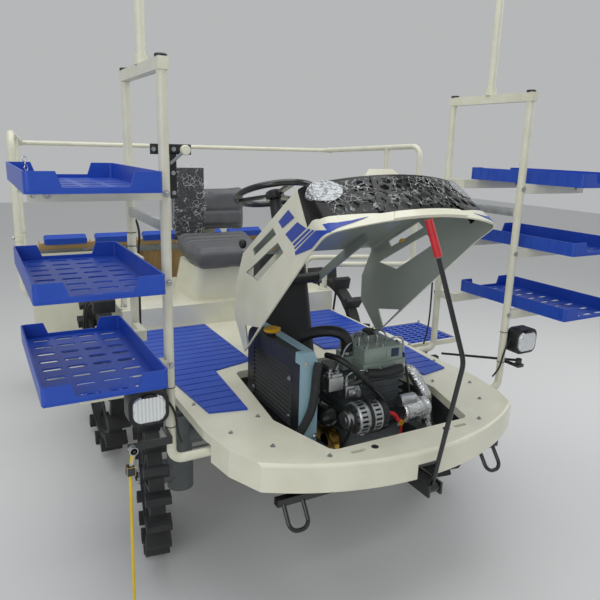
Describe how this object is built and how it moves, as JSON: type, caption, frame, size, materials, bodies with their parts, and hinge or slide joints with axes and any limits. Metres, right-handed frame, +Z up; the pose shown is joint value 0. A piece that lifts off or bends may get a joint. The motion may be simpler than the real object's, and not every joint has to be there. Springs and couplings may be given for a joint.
{
  "type": "riding rice transplanter",
  "caption": "Ride-on rice seedling transplanter with lugged wheels, raised hood, side seedling racks and a rear planting section on a lift linkage",
  "frame": {"origin": "on the floor under the middle of the machine's bounding box", "axes": "+Z up, the machine faces -Y, the driver's left is +X"},
  "size_m": [2.35, 3.3457, 2.4],
  "materials": {
    "frame_paint": "satin black-grey paint",
    "cream_paint": "cream gloss paint",
    "cream_plastic": "moulded cream plastic",
    "blue_plastic": "royal blue moulded plastic",
    "black_plastic": "black moulded plastic",
    "black_steel": "black painted steel",
    "cast_grey": "painted castings",
    "engine_iron": "cast engine block",
    "cover_green": "grey-green paint",
    "alu": "cast aluminium",
    "brass_plate": "plated pulley",
    "teal_paint": "teal paint",
    "foil": "foil wrap",
    "hose_rubber": "rubber hose",
    "tyre_rubber": "solid rubber tyre",
    "rim_black": "black coated wheel steel",
    "seat_vinyl": "dark seat cover",
    "clear_lens": "clear lens",
    "red_plastic": "red sleeve",
    "yellow_plastic": "yellow tube",
    "steel": "bright steel",
    "tan_board": "tan table panels",
    "grey_plastic": "grey rail"
  },
  "bodies": {
    "chassis": {"alternator": "alu", "belt_drive": "brass_plate", "chassis_frame": "frame_paint", "cylinder_head": "cover_green", "dash_column": "black_plastic", "drive_case": "cast_grey", "engine_block": "engine_iron", "exhaust": "foil", "front_deck": "cream_plastic", "front_fittings": "black_steel", "handrail": "cream_paint", "lamp_lenses": "clear_lens", "rack_left": "cream_paint", "rack_right": "cream_paint", "radiator": "black_plastic", "radiator_frame": "teal_paint", "radiator_hose": "hose_rubber", "rear_axle": "cast_grey", "rear_deck": "cream_plastic", "seat": "seat_vinyl", "seat_base": "cream_plastic", "side_steps": "cream_plastic", "step_grids": "blue_plastic", "step_mats": "blue_plastic", "trays_left": "blue_plastic", "trays_right": "blue_plastic", "work_lamps": "black_plastic"},
    "knuckle_right": {"knuckle_right": "cast_grey"},
    "front_wheel_right": {"front_tyre_right": "tyre_rubber", "front_rim_right": "rim_black"},
    "rear_wheel_right": {"rear_tyre_right": "tyre_rubber", "rear_rim_right": "rim_black"},
    "knuckle_left": {"knuckle_left": "cast_grey"},
    "front_wheel_left": {"front_tyre_left": "tyre_rubber", "front_rim_left": "rim_black"},
    "rear_wheel_left": {"rear_tyre_left": "tyre_rubber", "rear_rim_left": "rim_black"},
    "tie_rod": {"tie_rod": "steel"},
    "steering_wheel": {"steering_wheel": "black_plastic"},
    "hood": {"hood_shell": "cream_plastic", "hood_grille": "black_plastic", "headlamps": "clear_lens"},
    "centre_marker": {"centre_marker_rod": "steel", "centre_marker_sleeve": "red_plastic"},
    "side_marker_right": {"side_marker_right": "yellow_plastic"},
    "side_marker_left": {"side_marker_left": "black_steel"},
    "lower_links": {"lower_links": "frame_paint"},
    "upper_link": {"upper_link": "frame_paint"},
    "planter": {"planter_frame": "frame_paint", "planter_covers": "cream_plastic", "floats": "cream_plastic", "planting_cases": "cast_grey"},
    "lift_barrel": {"lift_barrel": "frame_paint"},
    "lift_rod": {"lift_rod": "steel"},
    "seedling_table": {"seedling_table": "tan_board", "table_caps": "blue_plastic", "table_rail": "grey_plastic"},
    "planting_rotors": {"planting_rotors": "steel"}
  },
  "joints": [
    {"name": "steer_right", "type": "hinge", "parent": "chassis", "child": "knuckle_right", "pos_m": [-0.6, -0.705, 0.325], "axis": [0, 0, 1], "range_deg": [-26, 44]},
    {"name": "front_wheel_right_spin", "type": "hinge", "parent": "knuckle_right", "child": "front_wheel_right", "pos_m": [-0.72346, -0.68545, 0.325], "axis": [0.9877, -0.1564, 0], "continuous": true},
    {"name": "rear_wheel_right_spin", "type": "hinge", "parent": "chassis", "child": "rear_wheel_right", "pos_m": [-0.725, 0.31, 0.46], "axis": [1, 0, 0], "continuous": true},
    {"name": "steer_left", "type": "hinge", "parent": "chassis", "child": "knuckle_left", "pos_m": [0.6, -0.705, 0.325], "axis": [0, 0, 1], "range_deg": [-26, 44]},
    {"name": "front_wheel_left_spin", "type": "hinge", "parent": "knuckle_left", "child": "front_wheel_left", "pos_m": [0.72346, -0.72455, 0.325], "axis": [0.9877, -0.1564, 0], "continuous": true},
    {"name": "rear_wheel_left_spin", "type": "hinge", "parent": "chassis", "child": "rear_wheel_left", "pos_m": [0.725, 0.31, 0.46], "axis": [1, 0, 0], "continuous": true},
    {"name": "tie_rod_pivot", "type": "hinge", "parent": "knuckle_right", "child": "tie_rod", "pos_m": [-0.58123, -0.58648, 0.34], "axis": [0, 0, 1], "range_deg": [-44, 26]},
    {"name": "steering_wheel_turn", "type": "hinge", "parent": "chassis", "child": "steering_wheel", "pos_m": [0, -0.36, 1.456], "axis": [0, 0.3584, 0.9336], "range_deg": [-312, 528]},
    {"name": "hood_hinge", "type": "hinge", "parent": "chassis", "child": "hood", "pos_m": [0, -0.508, 1.067], "axis": [1, 0, 0], "range_deg": [0, 40]},
    {"name": "centre_marker_fold", "type": "hinge", "parent": "chassis", "child": "centre_marker", "pos_m": [0, -1.602, 0.57], "axis": [1, 0, 0], "range_deg": [0, 90]},
    {"name": "side_marker_right_swing", "type": "hinge", "parent": "chassis", "child": "side_marker_right", "pos_m": [-0.912, -1.24, 0.745], "axis": [0, 1, 0], "range_deg": [0, 90]},
    {"name": "side_marker_left_swing", "type": "hinge", "parent": "chassis", "child": "side_marker_left", "pos_m": [0.8, -1.225, 0.77], "axis": [0, 0, 1], "range_deg": [-90, 0]},
    {"name": "lift", "type": "hinge", "parent": "chassis", "child": "lower_links", "pos_m": [0, 0.48, 0.45], "axis": [1, 0, 0], "range_deg": [-3, 30]},
    {"name": "upper_link_pivot", "type": "hinge", "parent": "chassis", "child": "upper_link", "pos_m": [0, 0.48, 0.6], "axis": [1, 0, 0], "range_deg": [-4, 31]},
    {"name": "planter_level", "type": "hinge", "parent": "lower_links", "child": "planter", "pos_m": [0, 0.98, 0.4], "axis": [1, 0, 0], "range_deg": [-31, 4]},
    {"name": "lift_barrel_pivot", "type": "hinge", "parent": "chassis", "child": "lift_barrel", "pos_m": [0, 0.395, 0.3], "axis": [1, 0, 0], "range_deg": [-4, 22]},
    {"name": "lift_rod_slide", "type": "slide", "parent": "lift_barrel", "child": "lift_rod", "axis": [0, 0.9324, 0.3615], "range_m": [-0.008, 0.056]},
    {"name": "table_slide", "type": "slide", "parent": "planter", "child": "seedling_table", "axis": [1, 0, 0], "range_m": [-0.14, 0.14]},
    {"name": "rotor_spin", "type": "hinge", "parent": "planter", "child": "planting_rotors", "pos_m": [0, 1.465, 0.25], "axis": [1, 0, 0], "continuous": true}
  ],
  "couplings": [
    {"joint": "steer_left", "follows": "steer_right", "ratio": 1},
    {"joint": "tie_rod_pivot", "follows": "steer_right", "ratio": -1},
    {"joint": "steering_wheel_turn", "follows": "steer_right", "ratio": 12},
    {"joint": "upper_link_pivot", "follows": "lift", "ratio": 1},
    {"joint": "planter_level", "follows": "lift", "ratio": -1},
    {"joint": "lift_barrel_pivot", "follows": "lift", "ratio": 0.605},
    {"joint": "lift_rod_slide", "follows": "lift", "m_per_rad": 0.089954}
  ]
}
